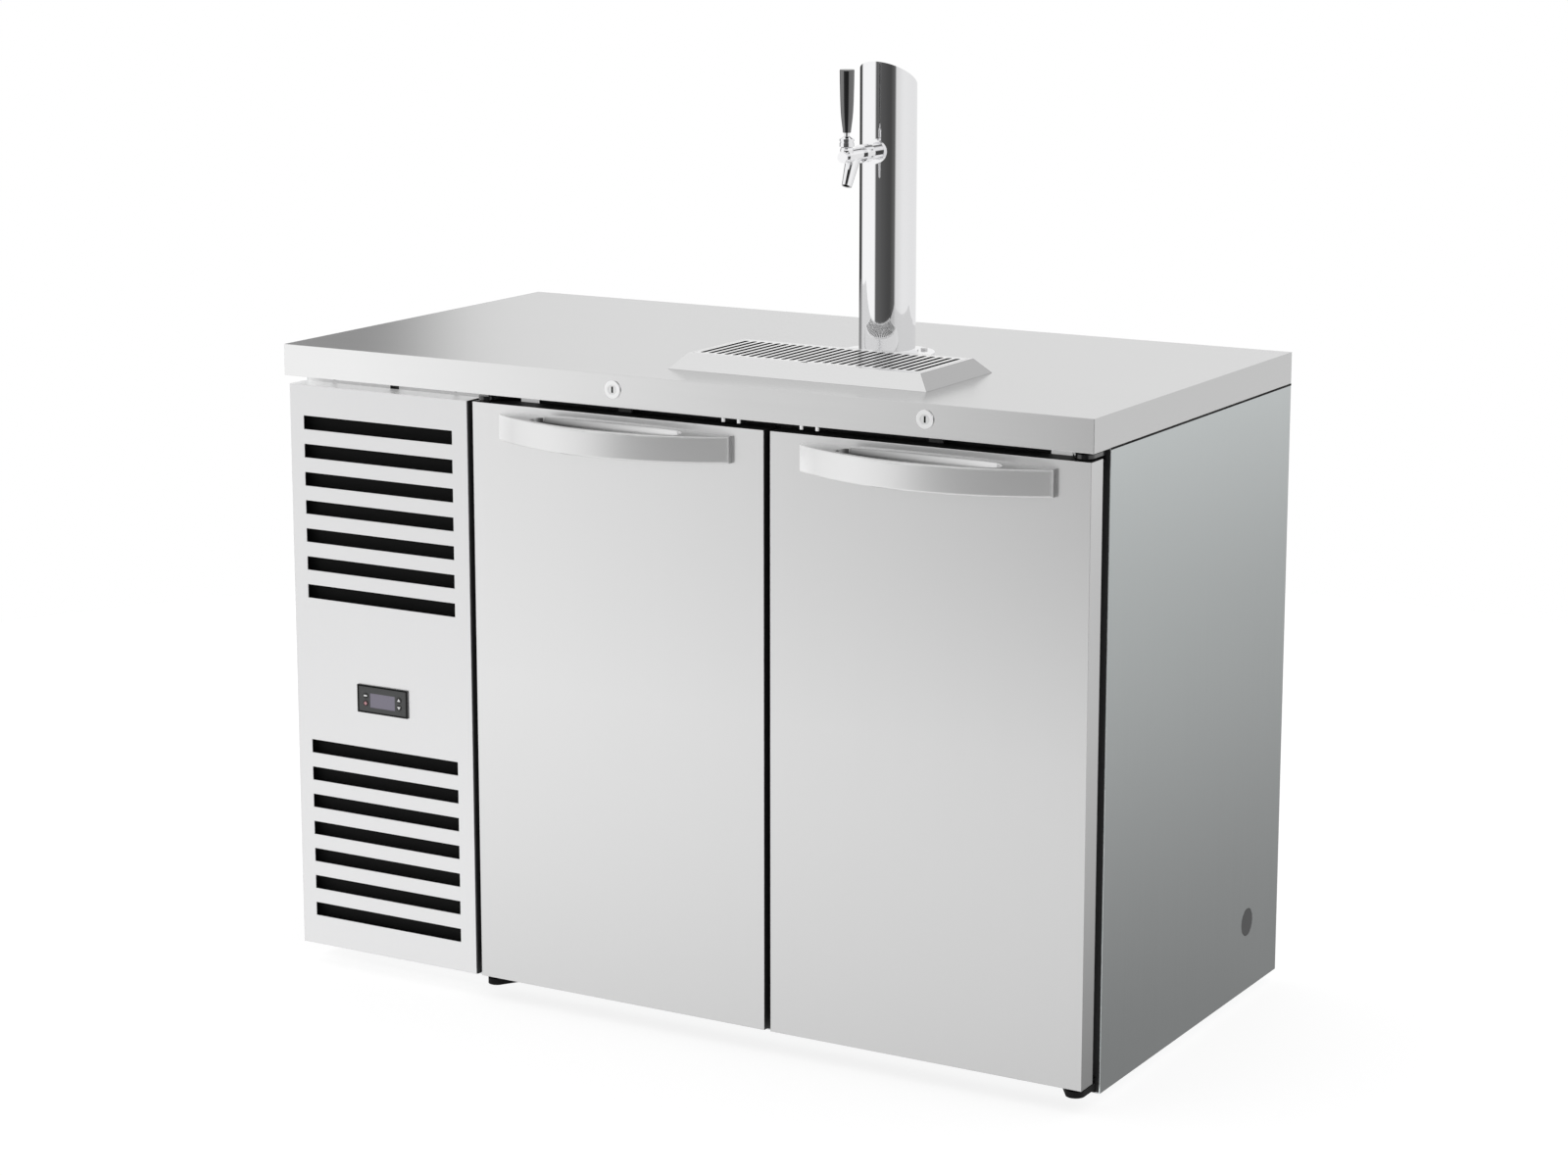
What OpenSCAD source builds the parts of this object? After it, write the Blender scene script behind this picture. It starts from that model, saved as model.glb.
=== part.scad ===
// Two-door back-bar beer cooler with a draft tower.
// Origin: centre of the footprint at floor level. +Z is up and the doors face -Y.

/* [Cabinet] */
// Overall width of the cabinet and worktop
body_w = 1222; // [1180:1:1300]
// Depth of the worktop from its nose to its back edge
top_d = 622; // [600:1:660]
// Height of the side panels
panel_h = 826; // [800:1:900]
// Height of the turned-down worktop edge
top_t = 43; // [36:1:50]
// Height of the levelling feet under the base
foot_h = 14; // [14:1:30]
// Distance from the worktop nose back to the face of the cabinet
nose_d = 49; // [47:1:60]
// Thickness of the insulated walls
wall_t = 48; // [40:1:60]
// Thickness of the sheet metal
sheet = 1.5; // [1:0.1:2]

/* [Machine bay] */
// Width of the louvred cover
cover_w = 295; // [280:1:300]
// Width of the insulated partition's left face, from the cabinet's left side
bay_w = 303; // [300:1:310]
// Width of one louvre slot
slot_w = 247.5; // [200:0.5:255]
// Height of one louvre slot
slot_h = 19; // [12:0.5:24]
// Distance from one slot to the next
slot_pitch = 39.4; // [34:0.1:40]
// Slots in each of the two groups
slot_count = 7; // [5:1:7]

/* [Doors] */
// Width of one door
door_w = 448.5; // [440:0.5:450]
// Gap beside and between the doors
door_gap = 9.5; // [9:0.5:12]
// Depth of the metal and plastic edge of a door
door_d = 33; // [30:1:35]
// Radius of the hinge pins
pin_r = 5; // [4:0.5:6]
// Distance of the hinge pin from the door's front and edge
pin_in = 15; // [14:0.5:16]
// Length of a door handle
handle_l = 354; // [300:1:380]
// Height of a door handle
handle_h = 35; // [30:1:40]
// How far a handle stands out in front of the door
handle_reach = 58; // [50:1:60]

/* [Tower and tray] */
// Radius of the tower column
tower_r = 38; // [35:0.5:45]
// Height of the tower's centre line above the worktop
tower_h = 372; // [350:1:420]
// Angle of the tower's slanted top
tower_cut = 30; // [0:1:35]
// Height of the faucet's axis above the worktop
tap_h = 276; // [250:1:300]
// Width of the drip tray's foot
tray_w = 382; // [360:1:400]
// Depth of the drip tray's foot
tray_d = 183; // [170:1:190]
// Height of the drip tray
tray_h = 20; // [18:1:25]
// Slots in the drip tray grille
grille_slots = 27; // [20:1:29]

/* [Hidden] */

$fn = 72;
// Small length that makes a cutter pass through a face
e = 0.5;
// Radial clearance of a turning or sliding fit
run = 0.05;
// Clearance round a piece that is fitted through a wall
fit = 0.3;

// Cabinet planes
half_w = body_w / 2;
front_y = handle_reach - (top_d + handle_reach) / 2;
back_y = front_y + top_d;
face_y = front_y + nose_d;
base_z = foot_h;
rim_z = base_z + panel_h;
top_z = rim_z + top_t;

// Refrigerated space inside the liner's outer skin
part_x = -half_w + bay_w;
room_x0 = part_x + wall_t;
room_x1 = half_w - wall_t;
room_y1 = back_y - wall_t;
room_z0 = base_z + 50;
room_z1 = rim_z - 45;
frame_t = 3;

// Doors: left edges, bottom and top
door_x1 = half_w - 3 - door_w;
door_x0 = door_x1 - door_gap - door_w;
door_z0 = base_z + 18;
door_z1 = rim_z - 11;
door_mid = door_w / 2;
cap_h = 18;
gasket_w = 14;
pin_z = [door_z0 + 14, door_z1 - 12];
mullion_x = (door_x0 + door_w + door_x1) / 2;

// Locks in the worktop nose
lock_xs = [door_x0 + door_mid - 2.5, door_x1 + door_mid - 2.5];
lock_z = top_z - 20;
lock_r = 6.5;
cam_l = 32;
cam_y = front_y + 22.5;

// Louvred cover
cover_x = part_x - cover_w;
slot_x = cover_x + 22.5;
slot_tops = [rim_z - 53.5, rim_z - 511];

// Controller in the cover
ctl_x = cover_x + 146.5;
ctl_z = base_z + 385;
ctl_w = 84;
ctl_h = 39;
button_r = 4;
button_dx = 28.2;
button_dz = 5.4;

// Tower and faucet
tower_x = 151.4;
tower_y = front_y + 325;
tap_z = top_z + tap_h;
tap_y = front_y + 212;
pivot_z = tap_z + 7;
column_y = tower_y - tower_r;
flange_r = 64;
flange_t = 5;

// Drip tray: centre and top
tray_x = tower_x;
tray_y = front_y + 167.5;
tray_z = top_z + tray_h;
tray_in = 18.5;

// Levelling feet
foot_x = half_w - 70;
foot_ys = [face_y + 75, back_y - 70];

// Machine bay
bay_mid = (-half_w + part_x) / 2;
fan_z = 195;
coil_y = face_y + 43;
comp_y = 170;

// A box between two corners
module span(a, b) {
    translate(a) cube(b - a);
}

// A cylinder along +Y that starts at y0
module rod_y(x, y0, z, r, l) {
    translate([x, y0, z]) rotate([-90, 0, 0]) cylinder(r = r, h = l);
}

// A cylinder along +X that starts at x0
module rod_x(x0, y, z, r, l) {
    translate([x0, y, z]) rotate([0, 90, 0]) cylinder(r = r, h = l);
}

// A cylinder along +Z
module rod_z(x, y, z0, r, l) {
    translate([x, y, z0]) cylinder(r = r, h = l);
}

// A quarter bend of round tube in the YZ plane, from +Y down to -Z
module bend_down(x, y, z, r, bend_r) {
    translate([x, y, z - bend_r]) rotate([90, 0, 90])
        rotate_extrude(angle = 90) translate([bend_r, 0]) circle(r = r);
}

// ---- Cabinet ----

module base_pan() {
    color("silver") difference() {
        union() {
            span([-half_w + sheet, face_y, base_z], [half_w - sheet, back_y - sheet, base_z + sheet]);
            for (x = [-foot_x, foot_x]) for (y = foot_ys)
                rod_z(x, y, base_z, 12, 22);
        }
        for (x = [-foot_x, foot_x]) for (y = foot_ys)
            rod_z(x, y, base_z - e, pin_r + run, 22 + 2 * e);
    }
}

module side_panel_left() {
    color("gainsboro") span([-half_w, face_y, base_z], [-half_w + sheet, back_y, rim_z]);
}

module side_panel_right() {
    color("gainsboro") difference() {
        span([half_w - sheet, face_y, base_z], [half_w, back_y, rim_z]);
        rod_x(half_w - 2 * sheet, front_y + 516, base_z + 97, 19 + fit, 3 * sheet);
    }
}

module back_panel() {
    color("silver") difference() {
        span([-half_w + sheet, back_y - sheet, base_z], [half_w - sheet, back_y, rim_z]);
        for (i = [0:15])
            span([bay_mid - 100, back_y - 2 * sheet, base_z + 120 + i * 36],
                 [bay_mid + 100, back_y + sheet, base_z + 132 + i * 36]);
        rod_y(bay_mid - 95, back_y - 2 * sheet, base_z + 60, 9 + fit, 3 * sheet);
    }
}

// Foam round the refrigerated space, with the slab under the worktop
module cabinet_insulation() {
    slab_y = face_y + 31.5;
    color("khaki") difference() {
        union() {
            span([part_x + sheet, face_y + frame_t, base_z + sheet],
                 [half_w - sheet, back_y - sheet, rim_z]);
            span([-half_w + sheet, slab_y, rim_z], [half_w - sheet, back_y - sheet, top_z - sheet]);
        }
        span([room_x0, face_y, room_z0], [room_x1, room_y1, room_z1]);
        for (y = foot_ys) rod_z(foot_x, y, base_z, 12 + fit, 36);
        rod_z(tower_x, tower_y, room_z1 - e, 28, 120);
        rod_z(tray_x, tray_y, rim_z - e, 14, 60);
        rod_x(half_w - 40, front_y + 516, base_z + 97, 15, 60);
        flange_holes(2.5, top_z - 12, 12);
        suction_hole();
    }
}

// Hole for the suction line through the partition
module suction_hole() {
    rod_x(part_x - e, comp_y, 740, 6, wall_t + 12);
}

module inner_liner() {
    color("lightgray") difference() {
        span([room_x0, face_y + frame_t, room_z0], [room_x1, room_y1, room_z1]);
        span([room_x0 + sheet, face_y, room_z0 + sheet],
             [room_x1 - sheet, room_y1 - sheet, room_z1 - sheet]);
        rod_z(tower_x, tower_y, room_z1 - 2 * sheet, 28, 3 * sheet);
        suction_hole();
    }
}

// Black thermal-break frame, the mullion and the seal strip beside the cover
module door_frame() {
    color("#202022") {
        difference() {
            span([part_x + sheet, face_y, base_z + sheet], [half_w - sheet, face_y + frame_t, rim_z]);
            span([room_x0 + sheet, face_y - e, room_z0 + sheet],
                 [room_x1 - sheet, face_y + frame_t + e, room_z1 - sheet]);
        }
        span([mullion_x - 26, face_y, room_z0 + sheet], [mullion_x + 26, face_y + 45, room_z1 - sheet]);
        span([part_x, front_y + sheet + 0.5, door_z0], [part_x + sheet, front_y + 33, door_z1]);
    }
}

module machine_bay_frame() {
    post = 18;
    color("whitesmoke") difference() {
        union() {
            span([-half_w + sheet, face_y, rim_z - 45], [part_x, face_y + sheet, rim_z]);
            span([-half_w + sheet, face_y, base_z + sheet],
                 [-half_w + sheet + post, face_y + sheet, rim_z - 45]);
            span([-half_w + sheet + post, face_y, base_z + sheet],
                 [part_x, face_y + sheet, base_z + 30]);
            span([part_x, face_y, base_z + sheet], [part_x + sheet, back_y - sheet, rim_z]);
        }
        suction_hole();
    }
}

module worktop() {
    color("gainsboro") difference() {
        span([-half_w, front_y, rim_z], [half_w, back_y, top_z]);
        span([-half_w + sheet, front_y + sheet, rim_z + sheet],
             [half_w - sheet, back_y - sheet, top_z - sheet]);
        span([-half_w + sheet, face_y + 31.5, rim_z - e],
             [half_w - sheet, back_y - sheet, rim_z + 2 * sheet]);
        for (x = lock_xs) {
            rod_y(x, front_y - e, lock_z, 9.5 + fit, sheet + 2 * e);
            span([x - 8, cam_y - 3, rim_z - e], [x + 28, cam_y + 7, rim_z + 2 * sheet]);
        }
        rod_z(tower_x, tower_y, top_z - 2 * sheet, 28, 3 * sheet);
        rod_z(tray_x, tray_y, top_z - 2 * sheet, 11, 3 * sheet);
        flange_holes(2.5, top_z - 2 * sheet, 3 * sheet);
    }
}

// ---- Louvred cover ----

module louvre_cover() {
    y1 = front_y + 33;
    color("gainsboro") difference() {
        union() {
            span([cover_x, front_y, door_z0], [part_x, front_y + sheet, door_z1]);
            difference() {
                span([cover_x, front_y + sheet, door_z0], [part_x, y1, door_z1]);
                span([cover_x + sheet, front_y, door_z0 + sheet],
                     [part_x - sheet, y1 + e, door_z1 - sheet]);
            }
        }
        for (top = slot_tops) for (i = [0:slot_count - 1])
            span([slot_x, front_y - e, top - i * slot_pitch - slot_h],
                 [slot_x + slot_w, front_y + sheet + e, top - i * slot_pitch]);
        span([ctl_x - 37, front_y - e, ctl_z - 15], [ctl_x + 37, front_y + sheet + e, ctl_z + 15]);
    }
}

// Tower flange screws, worktop screws over the doors, clamps of the upper hinges, and the cover's clip
module cabinet_fasteners() {
    color("lightsteelblue") {
        for (a = [45:90:315]) translate([tower_x, tower_y, 0]) rotate([0, 0, a])
            translate([52, 0, top_z]) {
                translate([0, 0, flange_t]) cylinder(r = 4.5, h = 2.5);
                translate([0, 0, -8]) cylinder(r = 2.3, h = 8 + flange_t);
            }
        for (dx = [-69, -46, 46, 69]) rod_z(mullion_x + dx, front_y + 9, rim_z - 6.5, 3, 6.5);
        for (side = ["left", "right"]) place_door(side)
            span([47, nose_d - 3, door_z1 - 4], [76, nose_d, rim_z]);
        span([ctl_x - 6, face_y - 9, rim_z - 14], [ctl_x + 2, face_y, rim_z - 1]);
        for (dx = [-106, 98])
            rod_y(ctl_x + dx, face_y - 2, rim_z - 7, 3, 2);
    }
}

// Plug of the port in the right side panel, and the cord gland of the back panel
module panel_plugs() {
    py = front_y + 516;
    pz = base_z + 97;
    color("dimgray") {
        rod_x(half_w - sheet, py, pz, 19, sheet);
        rod_x(half_w - 35, py, pz, 14.7, 35 - sheet);
        difference() {
            rod_y(bay_mid - 95, back_y - 12, base_z + 60, 9, 12);
            rod_y(bay_mid - 95, back_y - 12 - e, base_z + 60, 4.5, 12 + 2 * e);
        }
    }
}

// ---- Levelling feet ----

module foot(x, y) {
    color("#2b2b2d") translate([x, y, 0]) {
        cylinder(r1 = 17, r2 = 19, h = 3);
        translate([0, 0, 3]) cylinder(r = 19, h = 4);
        translate([0, 0, 7]) cylinder(r = 12, h = foot_h - 7.5, $fn = 6);
        translate([0, 0, 7]) cylinder(r = pin_r, h = foot_h + 22);
    }
}

module foot_front_left() { foot(-foot_x, foot_ys[0]); }
module foot_front_right() { foot(foot_x, foot_ys[0]); }
module foot_back_left() { foot(-foot_x, foot_ys[1]); }
module foot_back_right() { foot(foot_x, foot_ys[1]); }

// ---- Condensing unit in the machine bay ----

// Domed shell of the compressor
comp_r = 78;

module compressor_shell() {
    r = comp_r;
    translate([bay_mid, comp_y, base_z + sheet + 20]) rotate_extrude() polygon([
        [0, 0], [48, 0], [r - 12, 12], [r, 34], [r, 140], [r - 10, 162], [44, 178], [0, 184]]);
}

// Shell on its mounting plate, with four rubber grommets and the terminal box
module compressor() {
    r = comp_r;
    z0 = base_z + sheet;
    color("#1d1d20") {
        compressor_shell();
        difference() {
            span([bay_mid - 105, comp_y - 72, z0 + 16], [bay_mid + 105, comp_y + 72, z0 + 20]);
            for (x = [-90, 90]) for (y = [-56, 56])
                rod_z(bay_mid + x, comp_y + y, z0 + 10, 6, 20);
        }
        for (x = [-90, 90]) for (y = [-56, 56]) {
            rod_z(bay_mid + x, comp_y + y, z0, 13, 16);
            rod_z(bay_mid + x, comp_y + y, z0 + 16, 5.5, 10);
        }
        span([bay_mid + r - 3, comp_y - 34, z0 + 60], [bay_mid + r + 30, comp_y + 34, z0 + 130]);
    }
}

// Comb-shaped fin block between two end plates
module condenser_coil() {
    x0 = bay_mid - 128;
    fins = 32;
    pitch = 8;
    z0 = 60;
    color("#5a5a5e") {
        translate([x0, coil_y, z0]) linear_extrude(270) union() {
            translate([0, 18]) square([fins * pitch, 4]);
            for (i = [0:fins - 1]) translate([i * pitch + 3, 0]) square([2, 40]);
        }
        span([x0, coil_y, z0 - 10], [x0 + fins * pitch, coil_y + 40, z0]);
        span([x0, coil_y, z0 + 270], [x0 + fins * pitch, coil_y + 40, z0 + 280]);
        span([x0 + 70, coil_y + 5, base_z + sheet], [x0 + 100, coil_y + 35, z0 - 10]);
        span([x0 + fins * pitch - 40, coil_y + 5, base_z + sheet],
             [x0 + fins * pitch - 10, coil_y + 35, z0 - 10]);
    }
}

module fan_shroud() {
    y0 = coil_y + 40;
    color("#26262a") difference() {
        union() {
            span([bay_mid - 128, y0, 60], [bay_mid + 128, y0 + 3, 330]);
            rod_y(bay_mid, y0, fan_z, 108, 30);
            span([bay_mid - 112, y0 + 30, fan_z - 10], [bay_mid + 112, y0 + 64, fan_z + 10]);
        }
        rod_y(bay_mid, y0 - e, fan_z, 102, 55);
        rod_y(bay_mid, y0 + 40, fan_z, 12, 40);
        rod_y(bay_mid + 115, y0 - e, 130, 5, 5);
    }
}

// Two shaded-pole fan motors: behind the condenser and in the evaporator housing
module fan_motors() {
    color("#6d6f73") {
        rod_y(bay_mid, coil_y + 104, fan_z, 36, 50);
        rod_y(evap_x, evap_y + 52, evap_z, 20, 34);
    }
}

// A bladed fan that turns about Y, with its shaft to the rear
module fan(x, y, z, r, hub, blades, shaft_l) {
    translate([x, y, z]) rotate([-90, 0, 0]) {
        cylinder(r = hub, h = 14);
        translate([0, 0, 14]) cylinder(r = 3, h = shaft_l);
        intersection() {
            cylinder(r = r, h = 14);
            for (i = [0:blades - 1]) rotate([0, 0, i * 360 / blades])
                translate([hub - 2, 0, 7]) rotate([28, 0, 0])
                    translate([0, -hub * 0.55, -1]) cube([r, hub * 1.1, 2]);
        }
    }
}

module condenser_fan() {
    color("gray") fan(bay_mid, coil_y + 52, fan_z, 96, 22, 5, 37.9);
}

module condensate_pan() {
    z0 = base_z + 300;
    color("#3c3c40") difference() {
        span([bay_mid - 110, comp_y - 70, z0], [part_x, comp_y + 130, z0 + 40]);
        span([bay_mid - 107, comp_y - 67, z0 + 3], [part_x - 3, comp_y + 127, z0 + 41]);
        rod_z(bay_mid - 60, comp_y, z0 - e, 8, 5);
    }
}

// Suction line to the evaporator and discharge line to the condenser
module refrigerant_lines() {
    x = bay_mid - 60;
    z = 740;
    bend = 20;
    y1 = comp_y - 45;
    color("peru") difference() {
        union() {
            rod_z(x, comp_y, base_z + 170, 5, z - bend - base_z - 170);
            translate([x + bend, comp_y, z - bend]) rotate([90, 0, 0]) rotate([0, 0, 90])
                rotate_extrude(angle = 90) translate([bend, 0]) circle(r = 5);
            rod_x(x + bend, comp_y, z, 5, evap_x - 133 - x - bend);
            rod_y(bay_mid + 115, coil_y + 40, 130, 4, y1 - 15 - coil_y - 40);
            translate([bay_mid + 100, y1 - 15, 130])
                rotate_extrude(angle = 90) translate([15, 0]) circle(r = 4);
            rod_x(bay_mid + 50, y1, 130, 4, 50);
        }
        compressor_shell();
    }
}

// ---- Evaporator under the ceiling of the refrigerated space ----

evap_x = room_x0 + 170;
evap_y = -120;
evap_z = room_z1 - sheet - 55;

module evaporator_housing() {
    x0 = room_x0 + sheet + 2;
    x1 = x0 + 330;
    z0 = room_z1 - sheet - 110;
    z1 = room_z1 - sheet;
    color("whitesmoke") difference() {
        span([x0, evap_y, z0], [x1, evap_y + 340, z1]);
        span([x0 + 2, evap_y + 2, z0 + 2], [x1 - 2, evap_y + 338, z1 - 2]);
        rod_y(evap_x, evap_y - e, evap_z, 47, 3);
        for (i = [0:9])
            span([x0 + 30 + i * 28, evap_y + 335, z0 + 20], [x0 + 44 + i * 28, evap_y + 341, z1 - 20]);
        suction_hole();
    }
    color("whitesmoke") difference() {
        span([evap_x - 60, evap_y + 46, evap_z - 8], [evap_x + 60, evap_y + 52, evap_z + 8]);
        rod_y(evap_x, evap_y + 40, evap_z, 6, 20);
    }
    color("whitesmoke") for (x = [-60, 60])
        span([evap_x + x - 4, evap_y + 46, z0 + 2], [evap_x + x + 4, evap_y + 52, evap_z - 8]);
}

module evaporator_coil() {
    fins = 34;
    pitch = 8;
    x0 = evap_x - fins * pitch / 2;
    z0 = room_z1 - sheet - 108;
    color("silver") translate([x0, evap_y + 120, z0]) linear_extrude(106) union() {
        translate([0, 60]) square([fins * pitch, 4]);
        for (i = [0:fins - 1]) translate([i * pitch + 3, 0]) square([2, 190]);
    }
}

module evaporator_fan() {
    color("gray") fan(evap_x, evap_y + 16, evap_z, 43, 13, 5, 21.9);
}

module interior_light() {
    z1 = room_z1 - sheet;
    color("white") span([mullion_x + 60, face_y + 60, z1 - 10], [mullion_x + 340, face_y + 82, z1]);
}

// ---- Controller ----

module controller_housing() {
    color("#19191b") difference() {
        union() {
            span([ctl_x - ctl_w / 2, front_y - 2, ctl_z - ctl_h / 2],
                 [ctl_x + ctl_w / 2, front_y, ctl_z + ctl_h / 2]);
            span([ctl_x - 36, front_y, ctl_z - 14], [ctl_x + 36, front_y + 55, ctl_z + 14]);
        }
        span([ctl_x - 21, front_y - 2 - e, ctl_z - 11.3], [ctl_x + 21, front_y - 0.5, ctl_z + 9]);
        for (sx = [-1, 1]) for (sz = [-1, 1])
            rod_y(ctl_x + sx * button_dx, front_y - 2 - e, ctl_z + sz * button_dz - 0.6,
                  button_r + run, 4 + e);
    }
}

module controller_display() {
    color("#8a8896") span([ctl_x - 21, front_y - 1.7, ctl_z - 11.3], [ctl_x + 21, front_y - 0.5, ctl_z + 9]);
}

// Round button that travels into the housing
module button(sx, sz) {
    rod_y(ctl_x + sx * button_dx, front_y - 2.6, ctl_z + sz * button_dz - 0.6, button_r, 3.4);
}

module button_set() { color("dimgray") button(-1, 1); }
module button_power() { color("firebrick") button(-1, -1); }
module button_up() { color("dimgray") button(1, 1); }
module button_down() { color("dimgray") button(1, -1); }

// ---- Doors, drawn with the hinge on the left and the front at y = 0 ----

// Puts a door's pieces in place; the right door is the mirror image of the left
module place_door(side) {
    if (side == "left") translate([door_x0, front_y, 0]) children();
    if (side == "right") translate([door_x1 + door_w, front_y, 0]) mirror([1, 0, 0]) children();
}

module door_skin(side) {
    color("gainsboro") place_door(side) {
        span([0, 0, door_z0], [door_w, sheet, door_z1]);
        span([0, sheet, door_z0], [sheet, door_d, door_z1]);
    }
}

// Plastic end caps and latch edge, and the strike on the top cap that the lock's cam drops behind
module door_edge_frame(side) {
    strike_x = side == "left" ? door_mid - 2.5 : door_mid + 2.5;
    strike_y = 31;
    color("#1a1a1c") place_door(side) {
        difference() {
            span([sheet, sheet, door_z0], [door_w, door_d, door_z1]);
            span([0, 0, door_z0 + cap_h], [door_w - cap_h, door_d + e, door_z1 - cap_h]);
            rod_z(pin_in, pin_in, door_z0 - e, pin_r + run, 16);
            rod_z(pin_in, pin_in, door_z1 - 14, pin_r + run, 16);
            rod_z(strike_x, strike_y, door_z1 - 8, 1.6, 10);
        }
        span([strike_x - 10, strike_y - 2, door_z1 + 0.1],
             [strike_x + 10, strike_y + 2, door_z1 + 8.5]);
        rod_z(strike_x, strike_y, door_z1 - 7, 1.5, 8);
    }
}

module door_insulation(side) {
    color("khaki") place_door(side)
        span([sheet, sheet, door_z0 + cap_h], [door_w - cap_h, door_d - 3, door_z1 - cap_h]);
}

module door_inner_panel(side) {
    rib = 8;
    color("whitesmoke") place_door(side) {
        span([sheet, door_d - 3, door_z0 + cap_h], [door_w - cap_h, door_d, door_z1 - cap_h]);
        difference() {
            span([52, door_d, door_z0 + 52], [door_w - 48, door_d + rib, door_z1 - 52]);
            span([55, door_d - e, door_z0 + 55], [door_w - 51, door_d + rib - 2, door_z1 - 55]);
        }
    }
}

module door_gasket(side) {
    x0 = pin_in + 1;
    x1 = door_w - 5;
    color("#2a2a2c") place_door(side) difference() {
        span([x0, door_d, door_z0 + 5], [x1, nose_d - 0.3, door_z1 - 5]);
        span([x0 + gasket_w, door_d - e, door_z0 + 5 + gasket_w],
             [x1 - gasket_w, nose_d + e, door_z1 - 5 - gasket_w]);
    }
}

// Bowed casting, shapes of its finger pocket and its edges
handle_end = 8;
handle_lip = 7;
handle_round = 2.5;
handle_rise = 3.4;
bow_sag = handle_reach - handle_end;
bow_r = (handle_l * handle_l / 4 + bow_sag * bow_sag) / (2 * bow_sag);
pocket_end = 103;
pocket_back = 12;
pocket_round = 9;

// Front of the casting: an arc swept about a vertical axis behind the door, with round edges
module handle_bow() {
    f = handle_round;
    translate([0, bow_r - handle_reach, 0]) rotate([0, 0, -125]) rotate_extrude(angle = 70, $fn = 180) {
        polygon([[bow_r - 75, 0], [bow_r - f, 0], [bow_r, f], [bow_r, handle_h - f],
                 [bow_r - f, handle_h], [bow_r - 75, handle_h + handle_rise * 75 / handle_reach]]);
        for (z = [f, handle_h - f]) translate([bow_r - f, z]) circle(r = f, $fn = 32);
    }
}

// Plan of the casting, with its two front corners rounded
module handle_plan() {
    x = handle_l / 2 - handle_round;
    y = bow_r - handle_reach - sqrt(pow(bow_r - handle_round, 2) - x * x);
    translate([-x, -handle_reach - 1]) square([2 * x, handle_reach + 1]);
    translate([-handle_l / 2, y]) square([handle_l, -y]);
    for (side = [-1, 1]) translate([side * x, y]) circle(r = handle_round, $fn = 32);
}

// Pocket for the fingers: round at both ends, with a round top edge at its back
module handle_pocket() {
    lip_r = bow_r - handle_lip;
    end_y = bow_r - handle_reach - sqrt(lip_r * lip_r - pocket_end * pocket_end);
    end_r = (-pocket_back - end_y) / 2;
    intersection() {
        translate([0, bow_r - handle_reach, -e]) cylinder(r = lip_r, h = handle_h + 10, $fn = 180);
        translate([0, 0, -e]) linear_extrude(handle_h + 10) union() {
            translate([-pocket_end, -handle_reach]) square([2 * pocket_end, handle_reach]);
            for (side = [-1, 1]) translate([side * pocket_end, -pocket_back - end_r]) circle(r = end_r);
        }
        translate([-130, 0, 0]) rotate([90, 0, 90]) linear_extrude(260) difference() {
            translate([-handle_reach, -e]) square([handle_reach - pocket_back + pocket_round, handle_h + 10]);
            translate([-pocket_back, -2]) square([pocket_back, handle_h + handle_rise - pocket_round + 2]);
            translate([pocket_round - pocket_back, handle_h + handle_rise - pocket_round])
                circle(r = pocket_round);
        }
    }
}

module door_handle(side) {
    color("lightgray") place_door(side) translate([door_mid, 0, door_z1 - 11.5 - handle_h])
        difference() {
            intersection() {
                handle_bow();
                translate([0, 0, -1]) linear_extrude(handle_h + 20) handle_plan();
            }
            handle_pocket();
        }
}

module door_left_skin() { door_skin("left"); }
module door_left_edge_frame() { door_edge_frame("left"); }
module door_left_insulation() { door_insulation("left"); }
module door_left_inner_panel() { door_inner_panel("left"); }
module door_left_gasket() { door_gasket("left"); }
module door_left_handle() { door_handle("left"); }
module door_right_skin() { door_skin("right"); }
module door_right_edge_frame() { door_edge_frame("right"); }
module door_right_insulation() { door_insulation("right"); }
module door_right_inner_panel() { door_inner_panel("right"); }
module door_right_gasket() { door_gasket("right"); }
module door_right_handle() { door_handle("right"); }

// ---- Hinges ----

// Plan of a bracket: a round nose over the pin that widens towards the cabinet
module bracket_plan(r, w) {
    translate([pin_in, pin_in]) circle(r = r);
    polygon([[pin_in - r, pin_in], [pin_in - r, nose_d], [pin_in - r + w, nose_d],
             [pin_in - r + w, nose_d - 6], [pin_in + r * 0.77, pin_in - r * 0.63]]);
}

module upper_hinge_brackets() {
    r = 12.5;
    color("#202022") for (side = ["left", "right"]) place_door(side) {
        translate([0, 0, door_z1 + 3]) linear_extrude(5) bracket_plan(r, 44);
        span([pin_in - r, nose_d - 3, door_z1 - 3], [pin_in - r + 44, nose_d, rim_z]);
        rod_z(pin_in, pin_in, pin_z[1], pin_r, door_z1 + 4 - pin_z[1]);
    }
}

module lower_hinge_brackets() {
    r = 12.5;
    color("#202022") for (side = ["left", "right"]) place_door(side) {
        translate([0, 0, base_z + 6]) linear_extrude(8.5) bracket_plan(r, 46);
        span([pin_in - r, nose_d - 3, base_z + 2], [pin_in - r + 46, nose_d, door_z0 + 3]);
        rod_z(pin_in, pin_in, base_z + 13, pin_r, pin_z[0] - base_z - 13);
    }
}

// ---- Locks ----

module lock_housings() {
    color("silver") for (x = lock_xs) difference() {
        union() {
            rod_y(x, front_y - 1.5, lock_z, 12, 1.5);
            rod_y(x, front_y, lock_z, 9.5, 20);
            rod_y(x, front_y + sheet, lock_z, 13, 4);
        }
        rod_y(x, front_y - 2, lock_z, lock_r + run, 24);
    }
}

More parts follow.
